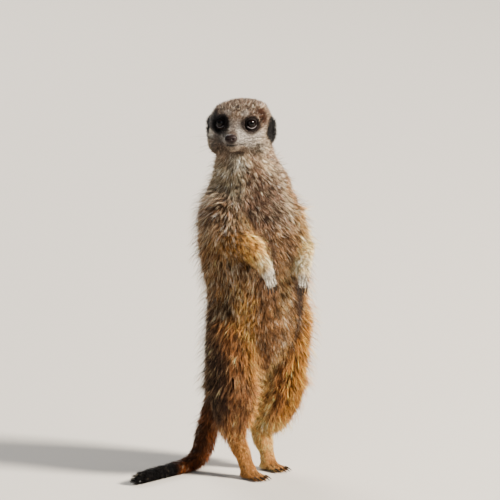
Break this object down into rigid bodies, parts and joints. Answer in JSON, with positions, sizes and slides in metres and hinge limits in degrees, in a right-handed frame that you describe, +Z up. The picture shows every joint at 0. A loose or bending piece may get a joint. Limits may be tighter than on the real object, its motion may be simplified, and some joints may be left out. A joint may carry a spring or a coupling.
{
  "type": "meerkat",
  "caption": "Meerkat standing upright on its hind feet and propped by its tail, forepaws hanging before the belly, head turned to one side; a still, life-size figure.",
  "frame": {"origin": "on the floor, under the middle of the whole animal's box", "axes": "+Z up; the hips and hind feet face -Y, so the animal's left is +X; the chest turns 14 degrees and the face 49 degrees to its own right"},
  "size_m": [0.1536, 0.0974, 0.2969],
  "materials": {
    "grey_coat": "grizzled grey-brown fur of the head and neck",
    "back_coat": "long ticked golden brown fur",
    "leg_coat": "long shaggy orange-brown fur, short on the feet",
    "pale_coat": "short golden cream fur",
    "dark_coat": "short near-black fur",
    "eye": "wet, very dark brown",
    "nose_skin": "damp, dark brown bare skin",
    "claw": "dark horn"
  },
  "bodies": {
    "root": {"eye_left": "eye", "eye_right": "eye", "ear_left": "dark_coat", "ear_right": "dark_coat", "nose": "nose_skin", "head": "grey_coat", "neck": "grey_coat", "tail_root": "leg_coat", "tail_middle": "leg_coat", "tail_tip": "dark_coat", "claw_fore_left_1": "claw", "claw_fore_left_2": "claw", "claw_fore_left_3": "claw", "claw_fore_left_4": "claw", "forepaw_left": "pale_coat", "forearm_left": "pale_coat", "upper_arm_left": "back_coat", "claw_hind_left_1": "claw", "claw_hind_left_2": "claw", "claw_hind_left_3": "claw", "claw_hind_left_4": "claw", "hindfoot_left": "leg_coat", "shank_left": "leg_coat", "thigh_left": "leg_coat", "claw_fore_right_1": "claw", "claw_fore_right_2": "claw", "claw_fore_right_3": "claw", "claw_fore_right_4": "claw", "forepaw_right": "pale_coat", "forearm_right": "pale_coat", "upper_arm_right": "back_coat", "claw_hind_right_1": "claw", "claw_hind_right_2": "claw", "claw_hind_right_3": "claw", "claw_hind_right_4": "claw", "hindfoot_right": "leg_coat", "shank_right": "leg_coat", "thigh_right": "leg_coat", "trunk": "back_coat"}
  },
  "joints": []
}
